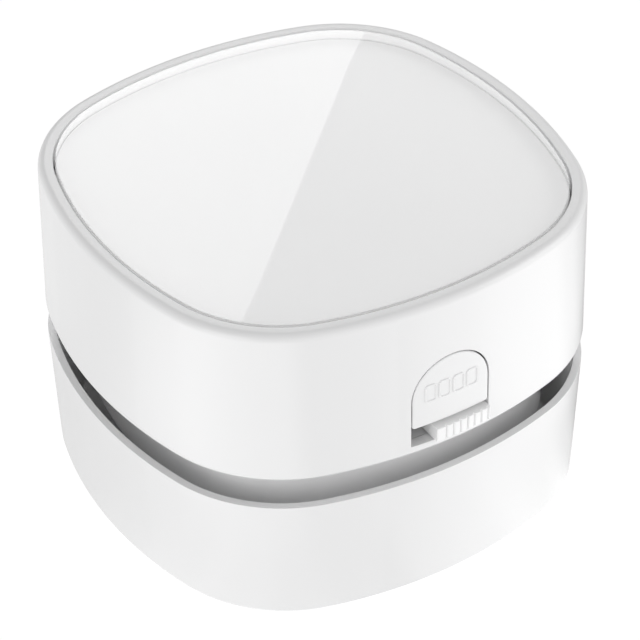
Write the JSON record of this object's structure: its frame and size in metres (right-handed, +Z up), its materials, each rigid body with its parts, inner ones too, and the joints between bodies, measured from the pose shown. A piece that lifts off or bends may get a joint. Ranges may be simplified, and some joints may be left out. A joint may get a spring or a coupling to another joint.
{
  "type": "desktop mini vacuum cleaner",
  "caption": "Rounded-square desktop mini vacuum cleaner: lower shell with dust cup, air gap, and a lift-off upper unit with motor, fan, arch-shaped release button and slide switch.",
  "frame": {"origin": "middle of the footprint, on the desk that the glide pads stand on", "axes": "+Z up through the suction inlet and the fan's axis, -Y towards the release button and slide switch"},
  "size_m": [0.0856, 0.0865, 0.0605],
  "materials": {
    "white_gloss": "gloss",
    "white_satin": "satin",
    "clear": "gloss",
    "cup_plastic": "gloss",
    "grey_plastic": "satin",
    "black_plastic": "satin",
    "bristle": "matte",
    "glide": "satin",
    "seal_rubber": "matte",
    "filter_cloth": "matte",
    "steel": "satin",
    "motor_metal": "satin",
    "brass": "satin",
    "cell_wrap": "gloss",
    "red_wire": "satin",
    "black_wire": "satin"
  },
  "bodies": {
    "base": {"base_shell": "white_gloss", "dust_cup": "cup_plastic", "brush_plate": "grey_plastic", "bristle_strip_1": "bristle", "bristle_strip_2": "bristle", "bristle_strip_3": "bristle", "bristle_strip_4": "bristle", "glide_pads": "glide", "brush_plate_screws": "steel"},
    "filter": {"filter_frame": "grey_plastic", "filter_pad": "filter_cloth"},
    "top_unit": {"top_shell": "white_gloss", "motor_deck": "white_satin", "fan_plate": "white_satin", "fan_seal": "seal_rubber", "fan_plate_screws": "steel", "housing_screws": "steel", "tray_screws": "steel", "motor_screws": "steel", "motor_can": "motor_metal", "motor_bushing": "brass", "motor_end_cap": "black_plastic", "motor_terminals": "brass", "battery_tray": "white_satin", "battery_left": "cell_wrap", "battery_right": "cell_wrap", "positive_contact": "steel", "negative_contact": "steel", "bridge_contact": "steel", "contact_springs": "steel", "switch_body": "steel", "button_spring": "steel", "red_leads": "red_wire", "black_lead": "black_wire"},
    "fan": {"impeller": "white_satin", "motor_shaft": "steel"},
    "switch": {"switch_knob": "white_satin", "switch_actuator": "black_plastic"},
    "button": {"release_button": "white_gloss", "latch_arm": "white_satin"},
    "lid": {"clear_plate": "clear", "lid_carrier": "white_gloss"}
  },
  "joints": [
    {"name": "top_lift", "type": "slide", "parent": "base", "child": "top_unit", "axis": [0, 0, 1], "range_m": [0, 0.045]},
    {"name": "filter_lift", "type": "slide", "parent": "base", "child": "filter", "axis": [0, 0, 1], "range_m": [0, 0.018]},
    {"name": "lid_lift", "type": "slide", "parent": "top_unit", "child": "lid", "axis": [0, 0, 1], "range_m": [0, 0.03]},
    {"name": "impeller_spin", "type": "hinge", "parent": "top_unit", "child": "fan", "pos_m": [0, 0, 0.0285], "axis": [0, 0, 1], "continuous": true},
    {"name": "button_press", "type": "slide", "parent": "top_unit", "child": "button", "axis": [0, 1, 0], "range_m": [0, 0.0015], "stiffness_N_per_m": 300, "deforming": ["button_spring"]},
    {"name": "switch_slide", "type": "slide", "parent": "top_unit", "child": "switch", "axis": [1, 0, 0], "range_m": [-0.0038, 0]}
  ],
  "couplings": [
    {"joint": "filter_lift", "follows": "top_lift", "ratio": 0.4}
  ]
}
